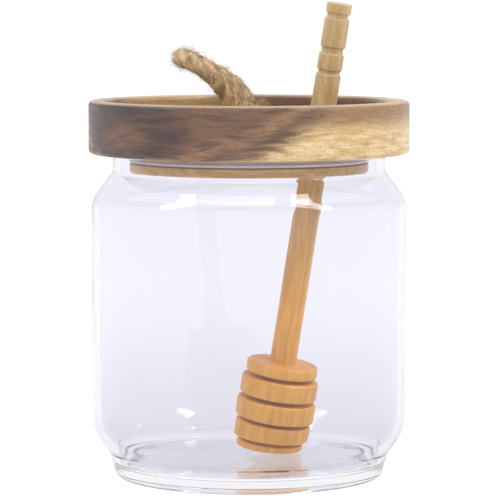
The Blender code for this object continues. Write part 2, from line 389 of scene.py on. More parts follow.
@dataclass(frozen=True)
class AcaciaFinish:
    """Acacia with a band of pale sapwood slanting through dark heartwood, in millimetres."""

    dark: Colour = (0.058, 0.037, 0.036)
    brown: Colour = (0.168, 0.09, 0.054)
    russet: Colour = (0.19, 0.092, 0.054)
    gold: Colour = (0.30, 0.165, 0.085)
    amber: Colour = (0.285, 0.163, 0.077)
    pale: Colour = (0.68, 0.51, 0.285)
    honey: Colour = (0.54, 0.36, 0.16)
    # Painted highlight: a cream colour for the top of the rim, where light catches it.
    rim_painted_highlight: Colour = (0.62, 0.47, 0.33)
    band_low: float = -34.7
    band_edge: float = 8.0
    band_slant: float = 2.04
    band_bend: float = 20.0
    band_feather: float = 5.0
    band_fray: float = 12.0
    back_edge: Span = (31.0, 45.0)
    middle_height: float = 109.0
    streak_offset: float = 50.0
    streak_width: Span = (0.5, 7.0)
    heart_edges: Span = (-47.0, -36.5)
    heart_blotch: float = 30.0
    russet_place: Colour = (-37.0, -32.0, 107.2)
    russet_reach: Span = (4.0, 15.0)
    amber_heights: Span = (109.6, 115.6)
    rim_highlight_heights: Span = (116.85, 117.3)
    fibre_turn_deg: float = 20.0
    thread_tilt_deg: float = -5.0
    wall_radii: Span = (42.6, 44.0)
    wall_squeeze: Colour = (1.0, 0.2, 1.0)
    thread_stretch: Colour = (0.16, 0.16, 2.4)
    flame_stretch: Colour = (0.05, 0.4, 0.85)
    blotch_stretch: Colour = (0.05, 0.05, 0.15)

    def build(self, shared: SharedEffects) -> Material:
        """Builds the material from the band's slant, the fibres and the pores."""
        made, graph, shader = new_material("acacia_lid")
        place = graph.object_mm()
        _, y, z = graph.split(place)
        wall = graph.length(graph.mapped(place, scale=(1.0, 1.0, 0.0)))
        wall = graph.step(wall, *self.wall_radii)
        turned = graph.mapped(place, turn=(0.0, 0.0, math.radians(self.fibre_turn_deg)))
        grain = graph.mix(wall, turned, graph.mapped(turned, scale=self.wall_squeeze))
        streaks, lines, pores = graph.effect(shared.fibres, grain)
        tilted = graph.mapped(place, turn=(0.0, math.radians(self.thread_tilt_deg), 0.0))
        threads = graph.stretched(tilted, self.thread_stretch, 4.0, 0.62)
        flat = graph.times(graph.minus(1.0, wall), graph.step(lines, 0.0, 1.0, 0.38, 0.62))
        threads = graph.plus(graph.times(threads, wall), flat)
        flames = graph.stretched(grain, self.flame_stretch, 2.0, 0.5)

        sapwood, edge = self.sapwood(graph, place, streaks, threads)
        heart = self.heartwood(graph, place, edge, streaks, threads)
        sap = graph.mix(graph.step(streaks, 0.15, 0.85), self.honey, self.pale)
        sap = graph.mix(graph.step(threads, 0.52, 0.72, 0.0, 0.45), sap, self.honey)
        sap = graph.mix(graph.step(flames, 0.6, 0.7, 0.0, 0.5), sap, self.amber)
        sap = graph.mix(graph.step(y, 4.0, 24.0, 0.0, 0.62), sap, self.amber)
        high = graph.step(graph.plus(z, graph.times(streaks, 2.4)), *self.amber_heights)
        front = graph.step(y, 10.0, -10.0)
        sap = graph.mix(graph.times(high, front), sap, self.amber)
        colour = graph.mix(sapwood, heart, sap)

        grit = graph.noise(place, 2.0, 1.0, 0.5)
        shade = graph.step(threads, 0.3, 0.7, 1.1, 0.88)
        shade = graph.times(shade, graph.step(grit, 0.35, 0.65, 0.89, 1.11))
        grey = graph.wire(graph.add("CombineColor"), Red=shade, Green=shade, Blue=shade)
        colour = graph.mix(1.0, colour, grey.outputs[0], "MULTIPLY")
        colour = graph.mix(graph.times(pores, 0.25), colour, self.dark)
        # Painted highlight: the rim's top is mixed towards cream, standing in for light catching
        # its edge.
        height = graph.plus(z, graph.times(grit, 0.3))
        colour = graph.mix(graph.step(height, *self.rim_highlight_heights, 0.0, 0.5), colour, self.rim_painted_highlight)

        smudge, _ = graph.effect(shared.handling, place)
        rough = graph.plus(graph.step(lines, 0.0, 1.0, 0.34, 0.46), graph.times(pores, 0.2))
        rough = graph.plus(rough, graph.times(smudge, -0.06))
        relief = graph.minus(graph.times(threads, 0.5), pores)
        normal = graph.bump(relief, 0.5, 0.06 * MM)
        graph.wire(shader, Base_Color=colour, Roughness=rough, Normal=normal)
        return made

    def sapwood(
        self, graph: Graph, place: Socket, streaks: Socket, threads: Socket
    ) -> tuple[Socket, Socket]:
        """Where the pale sapwood is.

        Args:
            graph: the material's graph.
            place: Object coordinates in millimetres.
            streaks: the fibres' streaks, which feather its edge.
            threads: the fine threads, which fray it.

        Returns:
            The band's mask, and the distance across it that the heartwood's streak follows.
        """
        x, y, z = graph.split(place)
        rise = graph.times(graph.minus(z, self.middle_height), self.band_slant)
        fray = graph.swing(threads, self.band_fray)
        edge = graph.minus(graph.plus(x, y), rise)
        edge = graph.plus(edge, graph.swing(graph.noise(place, 0.045, 2.0), self.band_bend))
        edge = graph.plus(edge, graph.swing(streaks, self.band_feather))
        edge = graph.plus(edge, fray)
        into = graph.step(edge, self.band_low - self.band_edge, self.band_low + self.band_edge)
        behind = graph.plus(y, graph.times(x, 0.5))
        behind = graph.plus(behind, graph.times(fray, 0.5))
        return graph.times(into, graph.step(behind, *self.back_edge, 1.0, 0.0)), edge

    def heartwood(
        self, graph: Graph, place: Socket, edge: Socket, streaks: Socket, threads: Socket
    ) -> Socket:
        """The heartwood's colour.

        Args:
            graph: the material's graph.
            place: Object coordinates in millimetres.
            edge: the distance across the sapwood band.
            streaks: the fibres' streaks.
            threads: the fine threads.

        Returns:
            The colour: dark and brown clouds, a russet glow on the left and one golden streak.
        """
        blotch = graph.stretched(place, self.blotch_stretch)
        x, y, _ = graph.split(place)
        side = graph.plus(x, graph.times(y, 0.5))
        side = graph.plus(side, graph.swing(blotch, self.heart_blotch))
        heart = graph.mix(graph.step(side, *self.heart_edges), self.dark, self.brown)
        heart = graph.mix(graph.step(streaks, 0.35, 1.0, 0.0, 0.4), heart, self.brown)
        away = graph.add("VectorMath", operation="SUBTRACT")
        graph.feed(away.inputs[0], place)
        graph.feed(away.inputs[1], self.russet_place)
        distance = graph.length(graph.mapped(away.outputs[0], scale=(1.0, 1.0, 2.2)))
        heart = graph.mix(graph.step(distance, *self.russet_reach, 0.8, 0.0), heart, self.russet)
        near = graph.math("ABSOLUTE", graph.plus(edge, self.streak_offset))
        heart = graph.mix(graph.step(near, *self.streak_width, 0.8, 0.0), heart, self.gold)
        heart = graph.mix(graph.step(streaks, 0.1, 0.55, 0.5, 0.0), heart, self.dark)
        return graph.mix(graph.step(threads, 0.55, 0.75, 0.0, 0.4), heart, self.dark)


@dataclass(frozen=True)
class TurnedWoodFinish:
    """Pale close-grained wood, for the plug and the dipper."""

    name: str
    light: Colour
    deep: Colour
    pore: Colour
    axis: Quaternion
    # fade is a painted pale sheen: the colour is multiplied by it above the sheen heights.
    fade: Colour = (1.0, 1.0, 1.0)
    painted_sheen_heights: Span = (48.0, 108.0)
    roughness: float = 0.48

    def build(self, shared: SharedEffects) -> Material:
        """Builds the material with fibres along the piece's own axis."""
        made, graph, shader = new_material(self.name)
        place = graph.object_mm()
        along = graph.mapped(place, turn=tuple(self.axis.to_euler("XYZ")))
        streaks, lines, pores = graph.effect(shared.fibres, along)
        colour = graph.mix(streaks, self.deep, self.light)
        colour = graph.mix(graph.step(lines, 0.3, 1.0, 0.0, 0.45), colour, self.deep)
        colour = graph.mix(graph.times(pores, 0.4), colour, self.pore)
        # Painted sheen: above these heights the colour is multiplied by fade, paler and bluer.
        height = graph.step(graph.split(place)[2], *self.painted_sheen_heights)
        colour = graph.mix(height, colour, graph.mix(1.0, colour, self.fade, "MULTIPLY"))
        smudge, _ = graph.effect(shared.handling, place)
        rough = graph.step(lines, 0.0, 1.0, self.roughness - 0.05, self.roughness + 0.07)
        rough = graph.plus(rough, graph.times(smudge, -0.05))
        relief = graph.minus(graph.times(lines, 0.5), pores)
        normal = graph.bump(relief, 0.4, 0.04 * MM)
        graph.wire(shader, Base_Color=colour, Roughness=rough, Normal=normal)
        return made


@dataclass(frozen=True)
class SiliconeFinish:
    """Soft translucent silicone with a dusting of lint."""

    colour: Colour = (0.97, 0.84, 0.80)
    lint: Colour = (0.99, 0.95, 0.93)
    transmission: float = 0.1
    ior: float = 1.41

    def build(self, shared: SharedEffects) -> Material:
        """Builds the material, part of whose light passes through."""
        made, graph, shader = new_material("grey_silicone")
        place = graph.object_mm()
        smudge, dust = graph.effect(shared.handling, place)
        graph.wire(
            shader,
            Base_Color=graph.mix(graph.times(dust, 0.5), self.colour, self.lint),
            Transmission_Weight=self.transmission,
            Roughness=graph.step(smudge, 0.0, 1.0, 0.3, 0.5),
            IOR=self.ior,
            Normal=graph.bump(graph.noise(place, 6.0, 1.0), 0.15, 0.02 * MM),
        )
        return made


@dataclass(frozen=True)
class JuteFinish:
    """Matt jute: tan fibres with darker brown bark specks."""

    tan: Colour = (0.40, 0.26, 0.125)
    straw: Colour = (0.80, 0.585, 0.335)
    brown: Colour = (0.15, 0.085, 0.038)
    fibre_stretch: Colour = (34.0, 0.3, 1.0)
    speck_stretch: Colour = (5.0, 0.45, 1.0)

    def build(self) -> Material:
        """Builds the material on the rope's own map, so that the fibres follow each strand."""
        made, graph, shader = new_material("jute")
        uv = graph.add("UVMap", uv_map=FIBRE_MAP).outputs[0]
        fibres = graph.stretched(uv, self.fibre_stretch, 3.0, 0.65)
        speck = graph.stretched(uv, self.speck_stretch, 2.0, 0.5)
        patch = graph.noise(graph.object_mm(), 0.28, 2.0)
        colour = graph.mix(graph.step(fibres, 0.35, 0.65), self.tan, self.straw)
        colour = graph.mix(graph.step(speck, 0.56, 0.68, 0.0, 0.8), colour, self.brown)
        colour = graph.mix(graph.step(patch, 0.46, 0.66, 0.0, 0.5), colour, self.brown)
        graph.wire(
            shader,
            Base_Color=colour,
            Roughness=graph.step(fibres, 0.2, 0.8, 0.95, 0.75),
            Sheen_Weight=0.25,
            Sheen_Roughness=0.6,
            Normal=graph.bump(fibres, 0.8, 0.25 * MM),
        )
        return made


@dataclass(frozen=True)
class StudioFinish:
    """The plain pale floor and backdrop."""

    white: Colour = (0.24, 0.24, 0.24)
    unevenness: float = 0.985
    glow: float = 0.8

    def build(self) -> Material:
        """Builds the floor, a light table under matt white."""
        made, graph, shader = new_material("studio_white")
        tooth = graph.noise(graph.object_mm(), 0.4, 3.0)
        low = tuple(self.unevenness * part for part in self.white)
        graph.wire(
            shader,
            Base_Color=graph.mix(tooth, low, self.white),
            Roughness=0.9,
            Specular_IOR_Level=0.1,
            Emission_Color=(1.0, 1.0, 1.0, 1.0),
            Emission_Strength=self.glow,
        )
        return made


# Turned shapes


@dataclass(frozen=True)
class Corner:
    """One corner of a turned outline, in metres."""

    radius: float
    height: float
    rounding: float = 0.0


@dataclass(frozen=True)
class Outline:
    """The section of a turned piece: corners from its axis out, down and back, or a ring."""

    corners: tuple[Corner, ...]
    arc_step_deg: float = 9.0
    longest: float = 4.0 * MM

    def points(self) -> list[Vector]:
        """The outline's points, with each rounded corner as an arc and long runs divided."""
        places = [Vector((corner.radius, 0.0, corner.height)) for corner in self.corners]
        curved: list[Vector] = []
        for i, corner in enumerate(self.corners):
            if corner.rounding <= 0.0:
                curved.append(places[i])
                continue
            before = (places[i - 1] - places[i]).normalized()
            after = (places[(i + 1) % len(places)] - places[i]).normalized()
            half = before.angle(after) / 2
            centre = places[i] + (before + after).normalized() * corner.rounding / math.sin(half)
            start = places[i] + before * corner.rounding / math.tan(half) - centre
            end = places[i] + after * corner.rounding / math.tan(half) - centre
            count = max(2, math.ceil(math.degrees(start.angle(end)) / self.arc_step_deg))
            shares = (step / count for step in range(count + 1))
            curved += [centre + start.slerp(end, share) * corner.rounding for share in shares]
        return self.divided(curved)

    def divided(self, points: list[Vector]) -> list[Vector]:
        """The same line with no straight run over the longest length."""
        line = [points[0]]
        for point in points[1:]:
            count = max(1, math.ceil((point - line[-1]).length / self.longest))
            start = line[-1]
            line += [start.lerp(point, step / count) for step in range(1, count + 1)]
        return line


def spun(outline: Outline, steps: int, ring: bool = False) -> BMesh:
    """Spins an outline once round the Z axis, with its points in a fixed order.

    Args:
        outline: the section.
        steps: how many faces go round.
        ring: whether the outline closes on itself, clear of the axis.

    Returns:
        The closed mesh, with its faces pointing out.
    """
    bm = bmesh.new()
    points = outline.points()
    points = [q for p, q in zip([None, *points], points) if p is None or (q - p).length > TIGHT]
    turns = [Matrix.Rotation(math.tau * i / steps, 3, "Z") for i in range(steps)]
    rows = []
    for point in points:
        places = [point] if point.x < TIGHT else [turn @ point for turn in turns]
        rows.append([bm.verts.new(place) for place in places])
    for low, high in zip(rows, rows[1:] + rows[:1] if ring else rows[1:]):
        for i, j in zip(range(steps), [*range(1, steps), 0]):
            corners = [row[k % len(row)] for row, k in ((low, i), (low, j), (high, j), (high, i))]
            bm.faces.new(list(dict.fromkeys(corners)))
    bmesh.ops.recalc_face_normals(bm, faces=bm.faces[:])
    return bm


def linked(name: str, data: bpy.types.ID) -> Object:
    """Makes an object of its data and puts it in the scene."""
    obj = bpy.data.objects.new(name, data)
    bpy.context.scene.collection.objects.link(obj)
    return obj


def placed(
    name: str, bm: BMesh, finish: Material, sharpness: Sharpness
) -> Object:
    """Makes an object of a finished mesh, at the origin.

    Args:
        name: the piece's name.
        bm: the mesh, which is freed.
        finish: its material.
        sharpness: how its edges are shaded.

    Returns:
        The new object.
    """
    mesh = bpy.data.meshes.new(name)
    bm.to_mesh(mesh)
    bm.free()
    mesh.materials.append(finish)
    mesh.shade_smooth()
    if sharpness is not Sharpness.ALL_SMOOTH:
        mesh.set_sharp_from_angle(angle=math.radians(sharpness.value))
    return linked(name, mesh)


def claim(obj: Object, slot: Slot, *nodes: str) -> Object:
    """Makes a piece ride on the pot and hides the nodes it stands for."""
    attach(obj, BODY)
    if nodes:
        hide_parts(*nodes)
    return obj


@dataclass(frozen=True)
class Hole:
    """An upright round hole with a small chamfer at each end."""

    centre: Vector
    radius: float
    chamfer: float = 0.35 * MM
    sides: int = 64
    margin: float = 5.0 * MM
    tight: float = 0.02 * MM
    sharp: float = 0.8

    def cut(self, obj: Object) -> None:
        """Cuts the hole through a piece and chamfers its two rims."""
        heights = [vert.co.z for vert in obj.data.vertices]
        low, high = min(heights), max(heights)
        middle = Matrix.Translation((self.centre.x, self.centre.y, (low + high) / 2))
        shape = {"segments": self.sides, "radius1": self.radius, "radius2": self.radius}
        bm = bmesh.new()
        depth = high - low + 2 * self.margin
        bmesh.ops.create_cone(bm, cap_ends=True, depth=depth, matrix=middle, **shape)
        mesh = bpy.data.meshes.new("drill")
        bm.to_mesh(mesh)
        bm.free()
        drill = linked("drill", mesh)
        cut = obj.modifiers.new("hole", "BOOLEAN")
        cut.operation = "DIFFERENCE"
        cut.solver = "EXACT"
        cut.object = drill
        graph = bpy.context.evaluated_depsgraph_get()
        result = bpy.data.meshes.new_from_object(obj.evaluated_get(graph))
        obj.modifiers.clear()
        bpy.data.objects.remove(drill)
        old, obj.data = obj.data, result
        bpy.data.meshes.remove(old)
        self.ease(obj.data)

    def on_rim(self, edge: bmesh.types.BMEdge) -> bool:
        """Whether an edge is part of one of the hole's two rims."""
        ends = [vert.co for vert in edge.verts]
        reach = [math.hypot(end.x - self.centre.x, end.y - self.centre.y) for end in ends]
        near = all(abs(radius - self.radius) < self.tight for radius in reach)
        flat = abs(ends[0].z - ends[1].z) < self.tight
        turn = edge.calc_face_angle(0.0) if len(edge.link_faces) == 2 else 0.0
        return flat and near and turn > self.sharp

    def ease(self, mesh: bpy.types.Mesh) -> None:
        """Chamfers the hole's rims."""
        bm = bmesh.new()
        bm.from_mesh(mesh)
        rims = [edge for edge in bm.edges if self.on_rim(edge)]
        how = {"offset_type": "OFFSET", "affect": "EDGES", "material": -1, "clamp_overlap": True}
        bmesh.ops.bevel(bm, geom=rims, offset=self.chamfer, segments=3, profile=0.5, **how)
        bm.to_mesh(mesh)
        bm.free()
        mesh.shade_smooth()
        mesh.set_sharp_from_angle(angle=math.radians(Sharpness.CRISP_EDGES.value))


# Sub-assemblies


@dataclass
class TurnedPiece:
    """A piece turned on one axis. Each kind gives its names and its outline."""

    piece: ClassVar[str]
    node: ClassVar[str]
    slot: ClassVar[Slot]
    sharpness: ClassVar[Sharpness] = Sharpness.CRISP_EDGES
    ring: ClassVar[bool] = False
    steps: int = 224

    def outline(self) -> Outline:
        """The piece's section."""
        raise NotImplementedError

    def work(self, bm: BMesh) -> None:
        """Changes the turned mesh by hand. Most kinds leave it as it is."""

    def build(self, finish: Material, holes: tuple[Hole, ...] = ()) -> Pieces:
        """Turns the piece and drills it.

        Args:
            finish: its material.
            holes: the holes through it.

        Returns:
            The one piece.
        """
        bm = spun(self.outline(), self.steps, self.ring)
        self.work(bm)
        made = placed(self.piece, bm, finish, self.sharpness)
        for hole in holes:
            hole.cut(made)
        return [claim(made, self.slot, self.node)]


@dataclass
class GlassJar(TurnedPiece):
    """The blown jar: a round body with a short neck, a sloping shoulder and a stepped foot."""

    piece = "jar_blown_glass"
    node = "glass_jar"
    slot = Slot.JAR
    sharpness = Sharpness.ALL_SMOOTH
    body_radius: float = 49.15 * MM
    neck_radius: float = 42.5 * MM
    foot_top_radius: float = 43.8 * MM
    foot_radius: float = 41.75 * MM
    ring_inner: float = 38.0 * MM
    hollow_radius: float = 37.0 * MM
    wall: float = 2.4 * MM
    shoulder_top: float = 95.3 * MM
    shoulder_bottom: float = 86.6 * MM
    slope_top: float = 14.7 * MM
    slope_bottom: float = 7.1 * MM
    floor_top: float = 4.3 * MM
    shoulder_rounding: float = 7.0 * MM
    neck_rounding: float = 2.0 * MM
    slope_rounding: float = 15.5 * MM
    foot_top_rounding: float = 0.8 * MM
    foot_rounding: float = 1.4 * MM
    floor_rounding: float = 1.6 * MM
    ring_rounding: float = 0.8 * MM
    lip_rounding: float = 0.6 * MM
    wave: float = 0.05 * MM
    wave_scales: Span = (28.0, 70.0)
    wave_band: float = 0.3 * MM

    def inside(self, before: Corner, corner: Corner, after: Corner, rounding: float) -> Corner:
        """Where the inside turns: the outer corner moved in by the wall, square to both its runs.

        Args:
            before: the outer corner above.
            corner: the outer corner.
            after: the outer corner below.
            rounding: the inner corner's rounding.

        Returns:
            The inner corner.
        """
        first = Vector((corner.radius - before.radius, corner.height - before.height)).normalized()
        second = Vector((after.radius - corner.radius, after.height - corner.height)).normalized()
        out = Vector((-first.y - second.y, first.x + second.x)).normalized()
        step = out * self.wall / math.cos(first.angle(second) / 2)
        return Corner(corner.radius - step.x, corner.height - step.y, rounding)

    def outline(self) -> Outline:
        """The section, from the middle of its floor up the inside, over the rim and down."""
        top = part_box(self.node)[1].z
        floor, hollow = self.floor_top, self.floor_top - self.wall
        lip = Corner(self.neck_radius, top, self.lip_rounding)
        neck = Corner(self.neck_radius, self.shoulder_top, self.neck_rounding)
        shoulder = Corner(self.body_radius, self.shoulder_bottom, self.shoulder_rounding)
        slope = Corner(self.body_radius, self.slope_top, self.slope_rounding)
        foot_top = Corner(self.foot_top_radius, self.slope_bottom, self.foot_top_rounding)
        foot = Corner(self.foot_radius, 0.0, self.foot_rounding)
        heel = self.inside(slope, foot_top, foot, self.foot_top_rounding)
        lean = (self.foot_top_radius - self.foot_radius) / self.slope_bottom
        corners = (
            Corner(0.0, floor),
            Corner(heel.radius - (heel.height - floor) * lean, floor, self.floor_rounding),
            heel,
            self.inside(shoulder, slope, foot_top, self.slope_rounding - self.wall),
            self.inside(neck, shoulder, slope, self.shoulder_rounding - self.wall),
            self.inside(lip, neck, shoulder, self.neck_rounding + self.wall),
            Corner(self.neck_radius - self.wall, top, self.lip_rounding),
            lip,
            neck,
            shoulder,
            slope,
            foot_top,
            foot,
            Corner(self.ring_inner, 0.0, self.ring_rounding),
            Corner(self.hollow_radius, hollow, self.ring_rounding),
            Corner(0.0, hollow),
        )
        return Outline(corners, arc_step_deg=5.0, longest=2.0 * MM)

    def work(self, bm: BMesh) -> None:
        """Gives the inside of the body the slow waves of a blown wall, fading to its ends."""
        inside = self.body_radius - self.wall
        slow, quick = self.wave_scales
        for vert in bm.verts:
            radius = math.hypot(vert.co.x, vert.co.y)
            near = abs(radius - inside) <= self.wave_band
            if not near or not self.slope_top < vert.co.z < self.shoulder_bottom:
                continue
            share = (vert.co.z - self.slope_top) / (self.shoulder_bottom - self.slope_top)
            fade = math.sin(math.pi * share)
            ripple = noise.noise(vert.co * slow) + 0.5 * noise.noise(vert.co * quick)
            out = Vector((vert.co.x, vert.co.y, 0.0)).normalized()
            vert.co += out * self.wave * fade * ripple


@dataclass
class WoodenLid(TurnedPiece):
    """The turned lid with a raised rim and a sunk top."""

    piece = "lid_turned_acacia"
    node = "lid"
    slot = Slot.LID
    rim_thickness: float = 5.3 * MM
    recess_depth: float = 8.0 * MM
    rounding: float = 1.5 * MM
    steps: int = 256

    def outline(self) -> Outline:
        """The section, from the middle of its sunk top out over the rim and underneath."""
        low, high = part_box(self.node)
        outer, inner = high.x, high.x - self.rim_thickness
        recess = high.z - self.recess_depth
        corners = (
            Corner(0.0, recess),
            Corner(inner, recess, self.rounding),
            Corner(inner, high.z, self.rounding),
            Corner(outer, high.z, self.rounding),
            Corner(outer, low.z, self.rounding),
            Corner(0.0, low.z),
        )
        return Outline(corners, arc_step_deg=12.0)


@dataclass
class LidPlug(TurnedPiece):
    """The paler disc under the lid, with the groove for the seal."""

    piece = "plug_turned_disc"
    node = "lid_plug"
    slot = Slot.PLUG
    flange_height: float = 2.9 * MM
    groove_radius: float = 34.4 * MM
    top_edge: float = 0.4 * MM
    low_edge: float = 0.9 * MM

    def outline(self) -> Outline:
        """The section, from the middle of its top down to the middle of its underside."""
        low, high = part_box(self.node)
        flange_top = low.z + self.flange_height
        corners = (
            Corner(0.0, high.z),
            Corner(self.groove_radius, high.z),
            Corner(self.groove_radius, flange_top),
            Corner(high.x, flange_top, self.top_edge),
            Corner(high.x, low.z, self.low_edge),
            Corner(0.0, low.z),
        )
        return Outline(corners, arc_step_deg=15.0)


@dataclass
class SealRing(TurnedPiece):
    """The silicone seal: a band with two soft lips, pressed in to the plug's edge."""

    piece = "seal_silicone_lips"
    node = "seal_ring"
    slot = Slot.SEAL
    ring = True
    band_radius: float = 36.5 * MM
    lip_radius: float = 37.7 * MM
    inner_radius: float = 34.7 * MM
    lip_thickness: float = 1.0 * MM
    lip_heights: Span = (98.85 * MM, 99.95 * MM)
    lip_softness: float = 0.12 * MM

    def outline(self) -> Outline:
        """The section, a closed ring."""
        low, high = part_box(self.node)
        half = self.lip_thickness / 2
        corners = [Corner(self.inner_radius, high.z), Corner(self.band_radius, high.z)]
        for height in reversed(self.lip_heights):
            corners += [
                Corner(self.band_radius, height + half),
                Corner(self.lip_radius, height + half / 2, self.lip_softness),
                Corner(self.lip_radius, height - half / 2, self.lip_softness),
                Corner(self.band_radius, height - half),
            ]
        corners += [Corner(self.band_radius, low.z), Corner(self.inner_radius, low.z)]
        return Outline(tuple(corners), arc_step_deg=30.0)


@dataclass(frozen=True)
class Turning:
    """One disc or groove of the dipper, measured along it from one end, in millimetres."""

    start_mm: float
    end_mm: float
    radius_mm: float

    def metres(self) -> tuple[float, float, float]:
        """Its start, end and radius."""
        return self.start_mm * MM, self.end_mm * MM, self.radius_mm * MM


@dataclass
class Dipper(TurnedPiece):
    """The turned honey dipper, which leans out through the lid."""

    piece = "dipper_turned"
    node = "dipper"
    slot = Slot.DIPPER
    foot: Vector = field(default_factory=lambda: Vector((6.3, 3.8, 6.4)) * MM)
    top: Vector = field(default_factory=lambda: Vector((28.0, -6.8, 147.5)) * MM)
    crossing_height: float = 102.25 * MM
    handle_radius: float = 3.9 * MM
    shaft_radius: float = 4.15 * MM
    core_radius: float = 6.0 * MM
    top_rounding: float = 0.5 * MM
    disc_rounding: float = 0.9 * MM
    softness: float = 0.25 * MM
    slope: float = 0.5 * MM
    discs: tuple[Turning, ...] = (
        Turning(0.0, 2.6, 10.5),
        Turning(3.8, 9.8, 11.8),
        Turning(10.9, 17.0, 12.35),
        Turning(18.2, 24.1, 12.1),
        Turning(25.2, 28.9, 11.2),
    )
    grooves: tuple[Turning, ...] = (
        Turning(2.9, 5.0, 3.3),
        Turning(13.5, 16.0, 3.33),
        Turning(20.6, 22.4, 3.36),
    )
    uneven_scale: float = 160.0
    uneven_depth: float = 0.06 * MM
    steps: int = 96

    def crossing(self) -> Vector:
        """Where the shaft's axis crosses the middle of the lid's thickness."""
        lean = self.top - self.foot
        return self.foot + lean * (self.crossing_height - self.foot.z) / lean.z

    def turn(self) -> Quaternion:
        """The turn from upright to the dipper's lean."""
        return Vector((0.0, 0.0, 1.0)).rotation_difference(self.top - self.foot)

    def outline(self) -> Outline:
        """The section along its own axis, from its top down to its foot."""
        length = (self.top - self.foot).length
        handle, soft = self.handle_radius, self.softness
        corners = [Corner(0.0, length), Corner(handle, length, self.top_rounding)]
        for groove in self.grooves:
            start, end, radius = groove.metres()
            corners += [
                Corner(handle, length - start, soft),
                Corner(radius, length - start - self.slope, soft),
                Corner(radius, length - end + self.slope, soft),
                Corner(handle, length - end, soft),
            ]
        corners.append(Corner(self.shaft_radius, length / 2))
        above = self.shaft_radius
        for disc in reversed(self.discs):
            start, end, radius = disc.metres()
            corners += [
                Corner(above, end, soft),
                Corner(radius, end, self.disc_rounding),
                Corner(radius, start, self.disc_rounding),
                Corner(self.core_radius, start, soft),
            ]
            above = self.core_radius
        corners[-1] = Corner(0.0, 0.0)
        return Outline(tuple(corners), arc_step_deg=22.0)

    def work(self, bm: BMesh) -> None:
        """Gives the dipper a hand-turned unevenness and leans it."""
        for vert in bm.verts:
            out = Vector((vert.co.x, vert.co.y, 0.0))
            if out.length > 1.0 * MM:
                bump = noise.noise(vert.co * self.uneven_scale)
                vert.co += out.normalized() * bump * self.uneven_depth
        lean = Matrix.Translation(self.foot) @ self.turn().to_matrix().to_4x4()
        bmesh.ops.transform(bm, matrix=lean, verts=bm.verts[:])


ROPE_ROUTE_MM = (
    (-2.95, 0.0, 101.5),
    (-2.95, 0.0, 106.0),
    (-3.0, -0.2, 109.6),
    (-3.7, -1.6, 112.6),
    (-4.9, -4.0, 115.6),
    (-6.3, -6.6, 118.6),
    (-8.4, -9.0, 121.8),
    (-11.4, -10.6, 125.3),
    (-15.2, -10.6, 128.2),
    (-18.6, -8.3, 129.9),
    (-20.5, -4.4, 130.4),
    (-21.1, 0.0, 130.6),
    (-20.5, 4.4, 130.5),
    (-18.4, 8.3, 129.7),
    (-15.0, 10.6, 127.9),
    (-11.2, 10.6, 125.6),
    (-7.3, 9.2, 123.7),
    (-3.9, 7.0, 121.0),
    (-1.5, 4.6, 117.8),
    (0.8, 2.4, 114.2),
    (2.5, 0.7, 110.6),
    (2.95, 0.0, 106.0),
    (2.95, 0.0, 101.5),
)


